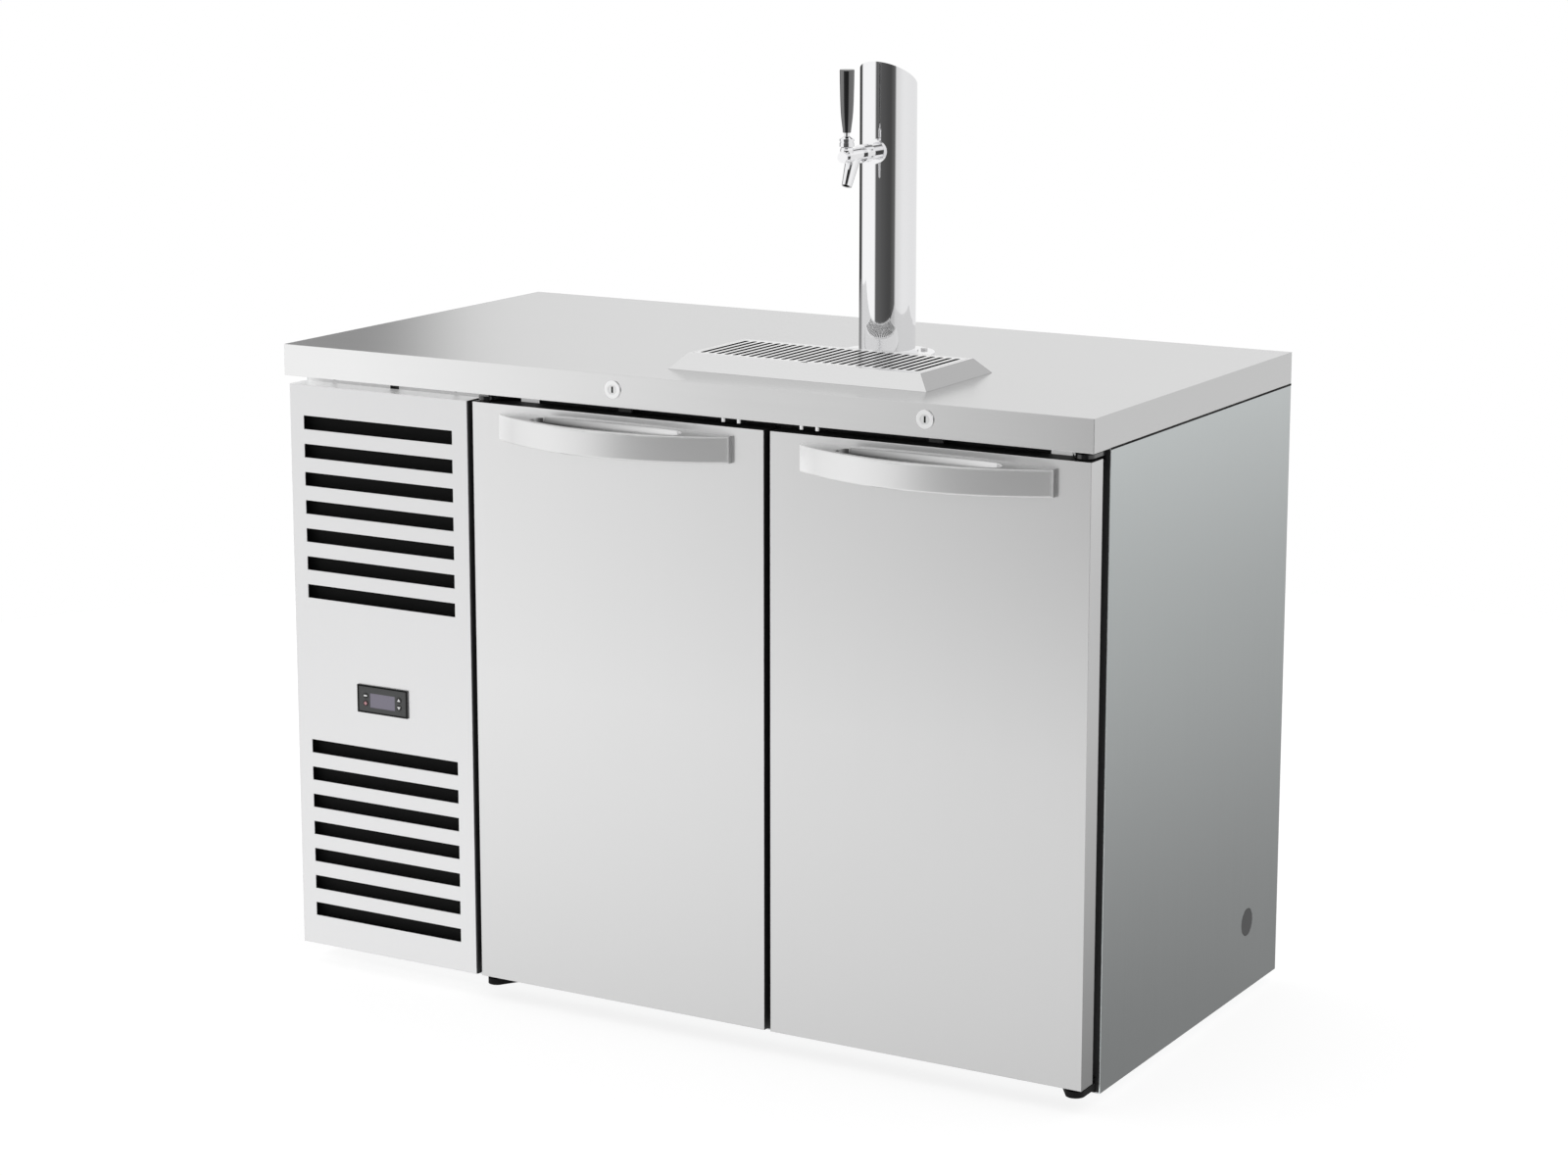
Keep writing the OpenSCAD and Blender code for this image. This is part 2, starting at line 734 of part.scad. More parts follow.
// Key plug and its cam, which swings from +X down behind the door's top edge
module lock_cam(x) {
    color("lightgray") difference() {
        union() {
            rod_y(x, front_y - 1.2, lock_z, lock_r, 23.7);
            span([x - 7, cam_y, lock_z - 6], [x + cam_l, cam_y + 3, lock_z + 6]);
        }
        span([x - 0.7, front_y - 2, lock_z - 3.8], [x + 0.7, front_y + 6, lock_z + 3.8]);
    }
}

module lock_cam_left() { lock_cam(lock_xs[0]); }
module lock_cam_right() { lock_cam(lock_xs[1]); }

// ---- Tower and faucet ----

module flange_holes(r, z, h) {
    for (a = [45:90:315]) translate([tower_x, tower_y, z]) rotate([0, 0, a])
        translate([52, 0, 0]) cylinder(r = r, h = h);
}

// A round bar with its top cut at the tower's slant, drop below the top plane
module slant_bar(r, z0, drop) {
    top = top_z + tower_h - drop;
    difference() {
        rod_z(tower_x, tower_y, z0, r, tower_h + 60 - (z0 - top_z));
        translate([tower_x, tower_y, top]) rotate([-tower_cut, 0, 0])
            translate([-100, -100, 0]) cube([200, 200, 200]);
    }
}

module tower_column() {
    wall = 2;
    color("white") difference() {
        union() {
            slant_bar(tower_r, top_z + flange_t, 0);
            rod_z(tower_x, tower_y, top_z, flange_r, flange_t);
            rod_z(tower_x, tower_y, top_z + flange_t, tower_r + 4, 4);
        }
        slant_bar(tower_r - wall, top_z - e, 2.3);
        rod_y(tower_x, column_y - 5, tap_z, 10.3, 12);
        flange_holes(2.5, top_z - e, flange_t + 2 * e);
    }
}

// Rigid line from the shank's tail down through the worktop and the ceiling
module beer_line() {
    bend = 14;
    y = front_y + 330;
    color("lightgray") difference() {
        union() {
            rod_z(tower_x, y + bend, room_z1 - 14, 4.5, tap_z - bend - room_z1 + 14);
            bend_down(tower_x, y, tap_z, 4.5, bend);
            rod_z(tower_x, y + bend, room_z1 - 22, 8, 12);
        }
        rod_z(tower_x, y + bend, room_z1 - 23, 3, tap_z - bend - room_z1 + 23);
        bend_down(tower_x, y, tap_z, 3, bend);
    }
}

// Threaded shank, its saddle flange outside the column and its nut inside
module faucet_shank() {
    y0 = front_y + 254;
    color("whitesmoke") {
        difference() {
            rod_y(tower_x, y0, tap_z, 10, front_y + 330 - y0);
            rod_y(tower_x, y0 - e, tap_z, 6.6, 16 + e);
            rod_y(tower_x, y0, tap_z, 3, 90);
        }
        difference() {
            rod_y(tower_x, front_y + 283, tap_z, 16.5, 10);
            rod_y(tower_x, front_y + 282, tap_z, 10, 12);
            rod_z(tower_x, tower_y, tap_z - 30, tower_r, 60);
        }
        difference() {
            rod_y(tower_x, front_y + 292, tap_z, 14, 9);
            rod_y(tower_x, front_y + 291, tap_z, 10, 11);
        }
    }
}

module coupling_nut() {
    y0 = front_y + 248;
    color("whitesmoke") difference() {
        rod_y(tower_x, y0, tap_z, 12, 20);
        rod_y(tower_x, y0 - e, tap_z, 9 + run, 21);
        rod_y(tower_x, y0 + 3, tap_z, 10 + run, 18);
        for (a = [22.5:45:337.5]) translate([tower_x, y0 + 6, tap_z]) rotate([0, a, 0])
            translate([0, 0, 12.2]) rotate([-90, 0, 0]) cylinder(r = 1.3, h = 9);
    }
}

// Cast body: horizontal barrel, ball top for the lever, front cap and raked spout
module faucet_body() {
    rake = 26;
    color("whitesmoke") difference() {
        union() {
            rod_y(tower_x, tap_y - 6, tap_z, 9, 45);
            rod_y(tower_x, front_y + 251, tap_z, 10, 3);
            rod_y(tower_x, tap_y - 12.5, tap_z - 1, 7, 10);
            rod_z(tower_x, tap_y, tap_z - 6, 8.2, pivot_z - tap_z + 6);
            translate([tower_x, tap_y, pivot_z]) sphere(r = 8.6);
            translate([tower_x, front_y + 228, tap_z - 6]) rotate([180 - rake, 0, 0])
                cylinder(r1 = 9.4, r2 = 6.6, h = 37);
        }
        rod_y(tower_x, tap_y - 9.5, tap_z, 4 + run, 23.5);
        rod_y(tower_x, front_y + 226, tap_z, 6.5, 22);
        rod_y(tower_x, front_y + 247, tap_z, 4.2, 4);
        rod_y(tower_x, front_y + 250.2, tap_z, 6.6, 5);
        translate([tower_x, front_y + 228, tap_z - 2]) rotate([180 - rake, 0, 0])
            cylinder(r = 4.6, h = 50);
        span([tower_x - 2.7, tap_y - 7, tap_z], [tower_x + 2.7, tap_y + 7, pivot_z + 10]);
    }
}

// Valve shaft with its seat washer; the lever's foot sits in its slot
module faucet_shaft() {
    color("silver") difference() {
        union() {
            rod_y(tower_x, tap_y - 9, tap_z, 4, 20);
            rod_y(tower_x, tap_y + 10, tap_z, 2.5, 32);
            rod_y(tower_x, front_y + 250.3, tap_z, 5.8, 3.7);
        }
        span([tower_x - 2.6, tap_y - 3.6, tap_z - 2.5], [tower_x + 2.6, tap_y + 2.5, tap_z + 5]);
    }
}

// Lever: foot, ball stem, and the collar that rides over the body's ball
module faucet_lever() {
    z = pivot_z;
    color("whitesmoke") translate([tower_x, tap_y, 0]) {
        translate([0, 0, tap_z]) sphere(r = 2.2);
        translate([0, 0, tap_z]) cylinder(r = 1.3, h = z - tap_z);
        translate([0, 0, z]) rotate([0, 90, 0]) translate([0, 0, -2.5]) cylinder(r = 3, h = 5);
        translate([0, 0, z]) cylinder(r = 2, h = 12);
        difference() {
            union() {
                translate([0, 0, z + 5.5]) cylinder(r = 9.4, h = 5);
                translate([0, 0, z + 10.5]) cylinder(r = 8.4, h = 2);
                translate([0, 0, z + 12.5]) cylinder(r = 9.4, h = 3);
                translate([0, 0, z + 15.5]) cylinder(r1 = 8.4, r2 = 4.2, h = 3);
                translate([0, 0, z + 18.5]) cylinder(r = 3.2, h = 5);
            }
            translate([0, 0, z]) sphere(r = 8.9);
        }
    }
}

module tap_handle() {
    z0 = pivot_z + 23.5;
    color("#101012") translate([tower_x, tap_y, z0]) rotate_extrude() polygon([
        [0, 0], [5.2, 0], [5.5, 3], [6.4, 10], [7.4, 18], [8.1, 26], [8.6, 35], [9, 48],
        [9.4, 66], [9.6, 80], [9.2, 81.5], [0, 81.5]]);
}

// ---- Drip tray ----

// Four-sided frustum centred on the tray, w by d at z0, drawn in by its own height
module frustum(w, d, z0, h, inset) {
    intersection() {
        translate([tray_x, tray_y + d / 2, z0]) rotate([90, 0, 0]) linear_extrude(d)
            polygon([[-w / 2, 0], [w / 2, 0], [w / 2 - inset, h], [inset - w / 2, h]]);
        translate([tray_x - w / 2, tray_y, z0]) rotate([90, 0, 90]) linear_extrude(w)
            polygon([[-d / 2, 0], [d / 2, 0], [d / 2 - inset, h], [inset - d / 2, h]]);
    }
}

// Half sizes of the tray's well and of the ledge that carries the grille
well_x = tray_w / 2 - tray_in - 8;
well_y = tray_d / 2 - tray_in - 8;
ledge = 3;

module drip_tray() {
    t = 1.5;
    color("gainsboro") difference() {
        union() {
            difference() {
                frustum(tray_w, tray_d, top_z, tray_h, tray_in);
                frustum(tray_w - 4, tray_d - 4, top_z - 0.1, tray_h - 1.4, tray_in - 1.4);
            }
            span([tray_x - well_x - t, tray_y - well_y - t, top_z + 2],
                 [tray_x + well_x + t, tray_y + well_y + t, tray_z - 2]);
            span([tray_x - well_x - ledge - t, tray_y - well_y - ledge - t, tray_z - 2 - t],
                 [tray_x + well_x + ledge + t, tray_y + well_y + ledge + t, tray_z - 1]);
            rod_z(tray_x, tray_y, top_z - 24, 9, 26.5);
        }
        span([tray_x - well_x, tray_y - well_y, top_z + 2 + t],
             [tray_x + well_x, tray_y + well_y, tray_z + e]);
        span([tray_x - well_x - ledge, tray_y - well_y - ledge, tray_z - 2],
             [tray_x + well_x + ledge, tray_y + well_y + ledge, tray_z + e]);
        rod_z(tray_x, tray_y, top_z - 25, 7, 40);
    }
}

module drip_grille() {
    w = well_x + ledge - 0.5;
    d = well_y + ledge - 0.5;
    pitch = 12.2;
    r = 3.3;
    reach = d - 8 - r;
    color("gainsboro") translate([tray_x, tray_y, tray_z - 2]) linear_extrude(2) difference() {
        translate([-w, -d]) square([2 * w, 2 * d]);
        for (i = [0:grille_slots - 1]) translate([(i - (grille_slots - 1) / 2) * pitch, 0]) {
            translate([-r, -reach]) square([2 * r, 2 * reach]);
            translate([0, -reach]) circle(r = r, $fn = 32);
            translate([0, reach]) circle(r = r, $fn = 32);
        }
        translate([0, -d]) circle(r = 5, $fn = 32);
    }
}

base_pan();
side_panel_left();
side_panel_right();
back_panel();
cabinet_insulation();
inner_liner();
door_frame();
machine_bay_frame();
worktop();
louvre_cover();
cabinet_fasteners();
panel_plugs();
foot_front_left();
foot_front_right();
foot_back_left();
foot_back_right();
compressor();
condenser_coil();
fan_shroud();
fan_motors();
condenser_fan();
condensate_pan();
refrigerant_lines();
evaporator_housing();
evaporator_coil();
evaporator_fan();
interior_light();
controller_housing();
controller_display();
button_set();
button_power();
button_up();
button_down();
door_left_skin();
door_left_edge_frame();
door_left_insulation();
door_left_inner_panel();
door_left_gasket();
door_left_handle();
door_right_skin();
door_right_edge_frame();
door_right_insulation();
door_right_inner_panel();
door_right_gasket();
door_right_handle();
upper_hinge_brackets();
lower_hinge_brackets();
lock_housings();
lock_cam_left();
lock_cam_right();
tower_column();
beer_line();
faucet_shank();
coupling_nut();
faucet_body();
faucet_shaft();
faucet_lever();
tap_handle();
drip_tray();
drip_grille();
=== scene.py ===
"""Looks of the back-bar beer cooler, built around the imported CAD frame."""

import math

import bmesh
import bpy
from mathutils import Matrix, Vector


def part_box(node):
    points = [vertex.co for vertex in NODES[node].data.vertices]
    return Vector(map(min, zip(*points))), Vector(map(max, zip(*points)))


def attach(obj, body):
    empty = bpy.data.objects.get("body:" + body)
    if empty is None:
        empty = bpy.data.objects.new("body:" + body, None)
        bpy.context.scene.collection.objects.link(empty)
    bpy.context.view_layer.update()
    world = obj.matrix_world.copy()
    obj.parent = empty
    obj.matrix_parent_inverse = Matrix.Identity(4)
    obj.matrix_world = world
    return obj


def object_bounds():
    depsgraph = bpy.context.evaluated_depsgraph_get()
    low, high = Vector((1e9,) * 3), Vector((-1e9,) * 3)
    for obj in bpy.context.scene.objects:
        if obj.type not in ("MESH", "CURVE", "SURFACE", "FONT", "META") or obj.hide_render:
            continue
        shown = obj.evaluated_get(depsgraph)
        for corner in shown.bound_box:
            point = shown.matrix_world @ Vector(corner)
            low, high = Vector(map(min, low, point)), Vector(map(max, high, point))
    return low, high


MM = 0.001
WHITE = (1.0, 1.0, 1.0, 1.0)

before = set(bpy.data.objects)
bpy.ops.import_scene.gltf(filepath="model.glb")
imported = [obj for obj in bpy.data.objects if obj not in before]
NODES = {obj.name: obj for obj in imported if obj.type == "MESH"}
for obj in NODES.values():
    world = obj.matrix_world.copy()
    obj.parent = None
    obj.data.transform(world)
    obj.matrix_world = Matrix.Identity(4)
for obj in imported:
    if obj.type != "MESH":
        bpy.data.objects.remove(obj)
CAD_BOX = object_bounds()

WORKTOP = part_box("worktop")
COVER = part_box("louvre_cover")
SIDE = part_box("side_panel_right")
SIDE_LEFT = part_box("side_panel_left")
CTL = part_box("controller_housing")


# ------------------------------------------------------------- node helpers


def feed(tree, socket, value):
    """Gives a socket a plain value, or a link from another node's output."""
    if isinstance(value, (float, tuple)):
        socket.default_value = value
    else:
        tree.links.new(value, socket)


def math_node(tree, operation, first, second):
    """Combines two factors, or a factor and a number."""
    node = tree.nodes.new("ShaderNodeMath")
    node.operation = operation
    feed(tree, node.inputs[0], first)
    feed(tree, node.inputs[1], second)
    return node.outputs["Value"]


def map_range(tree, fac, low, high, start, end, smooth=False):
    """Maps a factor between start and end to values from low to high."""
    node = tree.nodes.new("ShaderNodeMapRange")
    if smooth:
        node.interpolation_type = "SMOOTHSTEP"
    node.inputs["From Min"].default_value = start
    node.inputs["From Max"].default_value = end
    node.inputs["To Min"].default_value = low
    node.inputs["To Max"].default_value = high
    tree.links.new(fac, node.inputs["Value"])
    return node.outputs["Result"]


def mix_colors(tree, fac, first, second, blend="MIX"):
    """Mixes two colours by a factor."""
    node = tree.nodes.new("ShaderNodeMix")
    node.data_type = "RGBA"
    node.blend_type = blend
    # The Mix node's factor and its two colours have these places for RGBA
    feed(tree, node.inputs[0], fac)
    feed(tree, node.inputs[6], first)
    feed(tree, node.inputs[7], second)
    return node.outputs[2]


# ---------------------------------------------------------------- materials

BUMP_DEPTH = 0.2 * MM
BUMP_STRENGTH = 0.025
# Scale of the brushing's noise along the grain and across it
GRAIN_ALONG, GRAIN_ACROSS = 3.0, 900.0
# Normals with a component between these two count as partly facing that way
FACING = (0.3, 0.9)


def shader_of(mat):
    """The shader node of a material."""
    return mat.node_tree.nodes["Principled BSDF"]


def material(name, color, metallic=0.0, roughness=0.5, **sockets):
    """A Principled material with uniform values on its own sockets."""
    mat = bpy.data.materials.new(name)
    mat.use_nodes = True
    shader = shader_of(mat)
    shader.inputs["Base Color"].default_value = (*color, 1.0)
    shader.inputs["Metallic"].default_value = metallic
    shader.inputs["Roughness"].default_value = roughness
    for socket, value in sockets.items():
        shader.inputs[socket.replace("_", " ")].default_value = value
    return mat


def link_noise(mat, scale_xyz, detail=3.0):
    """Adds stretched 3-D noise in object coordinates and returns its output."""
    tree = mat.node_tree
    coord = tree.nodes.new("ShaderNodeTexCoord")
    mapping = tree.nodes.new("ShaderNodeMapping")
    mapping.inputs["Scale"].default_value = scale_xyz
    noise = tree.nodes.new("ShaderNodeTexNoise")
    noise.inputs["Scale"].default_value = 1.0
    noise.inputs["Detail"].default_value = detail
    tree.links.new(coord.outputs["Object"], mapping.inputs["Vector"])
    tree.links.new(mapping.outputs["Vector"], noise.inputs["Vector"])
    return noise.outputs["Fac"]


def ramp(mat, fac, low, high, start=0.3, end=0.7):
    """Maps a factor to a range of grey values."""
    return map_range(mat.node_tree, fac, low, high, start, end)


def combine(mat, operation, first, second):
    """Combines two factors of a material, or a factor and a number."""
    return math_node(mat.node_tree, operation, first, second)


def coordinate(mat, output, axis):
    """One axis of the object's coordinates or normal."""
    tree = mat.node_tree
    coord = tree.nodes.new("ShaderNodeTexCoord")
    split = tree.nodes.new("ShaderNodeSeparateXYZ")
    tree.links.new(coord.outputs[output], split.inputs["Vector"])
    return split.outputs[axis]


def round_edges(mat, radius, height=None):
    """Softens edges in shading, with a fine bump from a height if one is given."""
    tree = mat.node_tree
    bevel = tree.nodes.new("ShaderNodeBevel")
    bevel.samples = 6
    bevel.inputs["Radius"].default_value = radius
    out = bevel.outputs["Normal"]
    if height is not None:
        bump = tree.nodes.new("ShaderNodeBump")
        bump.inputs["Strength"].default_value = BUMP_STRENGTH
        bump.inputs["Distance"].default_value = BUMP_DEPTH
        tree.links.new(height, bump.inputs["Height"])
        tree.links.new(out, bump.inputs["Normal"])
        out = bump.outputs["Normal"]
    tree.links.new(out, shader_of(mat).inputs["Normal"])


def brushed(name, tone, grain, roughness, spread=0.018, radius=1.2 * MM):
    """Brushed stainless steel: grain is the direction of the brushing."""
    mat = material(name, (tone, tone, tone * 1.005), metallic=1.0, roughness=roughness)
    scale = tuple(GRAIN_ALONG if axis == grain else GRAIN_ACROSS for axis in "xyz")
    streaks = link_noise(mat, scale)
    mat.node_tree.links.new(
        ramp(mat, streaks, roughness - spread, roughness + spread),
        shader_of(mat).inputs["Roughness"],
    )
    round_edges(mat, radius, streaks)
    return mat


def set_tone(mat, value, cool=1.0):
    """Drives a material's base colour with a grey value, with less red for a cooler grey."""
    tree = mat.node_tree
    join = tree.nodes.new("ShaderNodeCombineColor")
    for channel in ("Green", "Blue"):
        tree.links.new(value, join.inputs[channel])
    red = value if cool == 1.0 else combine(mat, "MULTIPLY", value, cool)
    tree.links.new(red, join.inputs["Red"])
    tree.links.new(join.outputs["Color"], shader_of(mat).inputs["Base Color"])


def set_glow(mat, value):
    """Drives a material's white emission with a factor."""
    shader = shader_of(mat)
    shader.inputs["Emission Color"].default_value = WHITE
    mat.node_tree.links.new(value, shader.inputs["Emission Strength"])


def step_at(mat, axis, place, low=0.0, high=1.0):
    """Goes from low to high within a millimetre past a place on an axis."""
    return ramp(mat, coordinate(mat, "Object", axis), low, high, place, place + MM)


def use(mat, *names):
    """Gives CAD nodes a material through their own slots."""
    for name in names:
        for slot in NODES[name].material_slots:
            slot.material = mat


def worktop_steel():
    """Painted shade: its nose darkens toward the right, its top is a painted dimmer tone than
    the nose, and its right end is a little darker.
    """
    mat = brushed("worktop_steel", 0.80, "x", 0.20)
    upward = coordinate(mat, "Normal", "Z")
    nose_painted_shade = ramp(mat, coordinate(mat, "Object", "X"), 0.83, 0.64, -0.50, 0.12)
    upright = combine(mat, "MULTIPLY", nose_painted_shade, ramp(mat, upward, 1.0, 0.0, *FACING))
    top_painted_shade = ramp(mat, upward, 0.0, 0.56, *FACING)
    end = ramp(mat, coordinate(mat, "Normal", "X"), 1.0, 0.90, *FACING)
    set_tone(mat, combine(mat, "MULTIPLY", end, combine(mat, "ADD", top_painted_shade, upright)))
    return mat


def side_panel_steel():
    """Painted shade and highlight: the panels darken toward the floor, and their front edges
    carry a painted highlight.
    """
    mat = brushed("side_steel", 0.50, "z", 0.36)
    height = ramp(mat, coordinate(mat, "Object", "Z"), 0.0, 1.0, SIDE[0].z, SIDE[1].z)
    painted_floor_shade = ramp(mat, combine(mat, "POWER", height, 1.6), 0.155, 0.56, 0.0, 1.0)
    painted_edge_highlight = ramp(mat, coordinate(mat, "Normal", "Y"), 0.95, 0.0, -0.9, -0.4)
    set_tone(mat, combine(mat, "MAXIMUM", painted_floor_shade, painted_edge_highlight), cool=0.95)
    return mat


def door_front_steel():
    """Painted shade: the side strips darken toward the floor, and the fronts toward the right
    and the floor.
    """
    mat = brushed("door_steel", 0.74, "z", 0.30)
    above_floor = coordinate(mat, "Object", "Z")
    strip_painted_shade = ramp(mat, above_floor, 0.16, 0.62, SIDE[0].z, SIDE[1].z)
    fronts_only = ramp(mat, coordinate(mat, "Normal", "X"), 1.0, 0.0, *FACING)
    across_painted_shade = ramp(mat, coordinate(mat, "Object", "X"), 0.78, 0.67, -0.30, 0.61)
    foot_shade = ramp(mat, above_floor, 0.85, 1.0, SIDE[0].z, 0.45)
    fronts = combine(mat, "MULTIPLY", foot_shade, combine(mat, "MULTIPLY", across_painted_shade, fronts_only))
    set_tone(mat, combine(mat, "MAXIMUM", strip_painted_shade, fronts))
    return mat


def louvre_steel():
    """Painted glow: the top of the cover glows a little, standing in for light caught in the gap
    under the worktop.
    """
    mat = brushed("cover_steel", 0.78, "z", 0.34)
    upward = ramp(mat, coordinate(mat, "Normal", "Z"), 0.0, 0.28, 0.5, 0.9)
    set_glow(mat, combine(mat, "MULTIPLY", upward, step_at(mat, "Z", COVER[1].z - 2 * MM)))
    return mat


def fastener_metal():
    """Dark at the cover's clip, with a painted glow on faces toward the front in the gap above
    the doors.
    """
    mat = brushed("fastener_steel", 0.66, "x", 0.35)
    set_tone(mat, step_at(mat, "X", COVER[1].x, 0.03, 0.66))
    forward = ramp(mat, coordinate(mat, "Normal", "Y"), 0.35, 0.0, -0.9, -0.3)
    painted_glow_over_doors = combine(mat, "MULTIPLY", forward, step_at(mat, "X", COVER[1].x))
    in_gap = combine(mat, "LESS_THAN", coordinate(mat, "Object", "Z"), WORKTOP[0].z + MM)
    set_glow(mat, combine(mat, "MULTIPLY", painted_glow_over_doors, in_gap))
    return mat


def cast_handle(side):
    """Satin cast metal, with a painted highlight at the left end of its face, painted shade
    toward its right, and painted shade at the left of the finger pocket's back wall.
    """
    low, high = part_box(f"door_{side}_handle")
    pocket_inset = 60 * MM
    pocket_depth = 26 * MM
    mat = material(f"cast_handle_{side}", (0.8, 0.8, 0.8), metallic=1.0, roughness=0.42)
    round_edges(mat, 2.2 * MM)
    along = coordinate(mat, "Object", "X")
    # Painted highlight and shade along the face: brightest at the left end, darker toward the
    # right
    face = combine(
        mat,
        "MAXIMUM",
        ramp(mat, along, 1.0, 0.5, low.x, low.x + 80 * MM),
        ramp(mat, along, 0.80, 0.66, low.x + 100 * MM, high.x),
    )
    # Painted shade on the pocket's back wall: dark at the left, light toward the right
    pocket_wall_painted_shade = ramp(mat, along, 0.10, 0.88, low.x + pocket_inset, high.x - 90 * MM)
    behind = combine(mat, "GREATER_THAN", coordinate(mat, "Object", "Y"), high.y - pocket_depth)
    between = combine(
        mat,
        "MULTIPLY",
        combine(mat, "GREATER_THAN", along, low.x + pocket_inset),
        combine(mat, "LESS_THAN", along, high.x - pocket_inset),
    )
    facing = ramp(mat, coordinate(mat, "Normal", "Y"), 1.0, 0.0, -0.95, -0.1)
    inside = combine(mat, "MULTIPLY", facing, combine(mat, "MULTIPLY", behind, between))
    shade = combine(mat, "MULTIPLY", inside, combine(mat, "SUBTRACT", face, pocket_wall_painted_shade))
    set_tone(mat, combine(mat, "SUBTRACT", face, shade))
    return mat


top_steel = worktop_steel()
door_steel = door_front_steel()
cover_steel = louvre_steel()
side_steel = side_panel_steel()
inner_steel = brushed("liner_steel", 0.66, "x", 0.35)

# Painted shade: the tray's right slope is darker than the rest of it
tray_steel = brushed("tray_steel", 0.74, "x", 0.22, radius=0.8 * MM)
rightward = coordinate(tray_steel, "Normal", "X")
set_tone(tray_steel, ramp(tray_steel, rightward, 0.74, 0.42, 0.1, 0.5))

# Painted shade: the walls of the grille's slots are dark
grille_steel = brushed("grille_steel", 0.80, "x", 0.22, radius=0.3 * MM)
upward = coordinate(grille_steel, "Normal", "Z")
set_tone(grille_steel, ramp(grille_steel, upward, 0.06, 0.82, 0.5, 0.9))

# The strike blocks above the doors are lighter than the end caps
cap_plastic = material("cap_plastic", (0.016, 0.016, 0.017), roughness=0.6)
set_tone(cap_plastic, step_at(cap_plastic, "Z", COVER[1].z, 0.016, 0.12))

fastener_steel = fastener_metal()
chrome = material("polished_chrome", (0.86, 0.86, 0.87), metallic=1.0, roughness=0.045)
lock_metal = material("lock_metal", (0.94, 0.94, 0.94), metallic=1.0, roughness=0.30)
round_edges(lock_metal, 0.8 * MM)
key_metal = material("key_metal", (0.80, 0.80, 0.80), metallic=1.0, roughness=0.30)
galvanised = material("galvanised", (0.52, 0.53, 0.54), metallic=0.9, roughness=0.42)
white_metal = material("white_metal", (0.74, 0.74, 0.73), roughness=0.45)
# Painted glow: the rail over the machine bay emits a little light, standing in for light
# reaching it under the worktop
rail_painted_glow = material(
    "rail_painted_glow", (0.80, 0.80, 0.80), roughness=0.4, Emission_Color=WHITE, Emission_Strength=0.3
)
black_metal = material("black_metal", (0.012, 0.012, 0.013), roughness=0.38)
bracket_black = material("bracket_black", (0.010, 0.010, 0.011), roughness=0.12, Coat_Weight=0.5)
black_plastic = material("black_plastic", (0.014, 0.014, 0.015), roughness=0.55)
grey_plastic = material("grey_plastic", (0.026, 0.027, 0.028), roughness=0.6)
white_plastic = material("white_plastic", (0.76, 0.76, 0.75), roughness=0.42)
deep_black = material("deep_black", (0.004, 0.004, 0.004), roughness=0.8, Specular_IOR_Level=0.2)
rubber = material("rubber", (0.012, 0.012, 0.012), roughness=0.75)
foam = material("foam", (0.62, 0.50, 0.25), roughness=0.9)
copper = material("copper", (0.62, 0.30, 0.17), metallic=1.0, roughness=0.28)
fins = material("fins", (0.62, 0.63, 0.64), metallic=1.0, roughness=0.35)
gloss_black = material("gloss_black", (0.004, 0.004, 0.005), roughness=0.06, IOR=2.3)
display_glass = material("display_glass", (0.20, 0.185, 0.235), roughness=0.12)
panel_grey = material("panel_grey", (0.052, 0.054, 0.054), roughness=0.45)
mark_white = material("mark_white", (0.85, 0.85, 0.85), roughness=0.5)
mark_pink = material("mark_pink", (0.55, 0.28, 0.30), roughness=0.5)
button_grey = material("button_grey", (0.008, 0.008, 0.008), roughness=0.4)
button_red = material("button_red", (0.022, 0.005, 0.006), roughness=0.4)
lamp = material("lamp", (0.85, 0.85, 0.82), roughness=0.4)

use(top_steel, "worktop")
use(cover_steel, "louvre_cover")
use(side_steel, "side_panel_right", "side_panel_left")
use(inner_steel, "inner_liner", "beer_line", "faucet_shaft")
use(fastener_steel, "cabinet_fasteners")
use(tray_steel, "drip_tray")
use(grille_steel, "drip_grille")
use(galvanised, "base_pan", "back_panel")
use(rail_painted_glow, "machine_bay_frame")
use(white_metal, "evaporator_housing")
use(black_metal, "compressor", "condenser_coil", "fan_motors")
use(bracket_black, "upper_hinge_brackets")
use(deep_black, "lower_hinge_brackets")
use(black_plastic, "door_frame", "fan_shroud", "condensate_pan", "evaporator_fan")
use(panel_grey, "controller_housing")
use(grey_plastic, "panel_plugs")
use(rubber, "foot_front_left", "foot_front_right", "foot_back_left", "foot_back_right")
use(foam, "cabinet_insulation")
use(copper, "refrigerant_lines")
use(fins, "condenser_fan", "evaporator_coil")
use(lamp, "interior_light")
use(display_glass, "controller_display")
use(button_grey, "button_set", "button_up", "button_down")
use(button_red, "button_power")
use(lock_metal, "lock_housings")
use(key_metal, "lock_cam_left", "lock_cam_right")
use(chrome, "tower_column", "faucet_shank", "coupling_nut", "faucet_body", "faucet_lever")
use(gloss_black, "tap_handle")
for side in ("left", "right"):
    use(door_steel, f"door_{side}_skin")
    use(cap_plastic, f"door_{side}_edge_frame")
    use(foam, f"door_{side}_insulation")
    use(white_plastic, f"door_{side}_inner_panel")
    use(rubber, f"door_{side}_gasket")
    use(cast_handle(side), f"door_{side}_handle")


# ------------------------------------------------------------ detail pieces


def mesh_object(name, bm, mat, body):
    """Turns a bmesh into a piece that rides on a body."""
    mesh = bpy.data.meshes.new(name)
    bm.to_mesh(mesh)
    bm.free()
    mesh.materials.append(mat)
    obj = bpy.data.objects.new(name, mesh)
    bpy.context.scene.collection.objects.link(obj)
    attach(obj, body)
    return obj


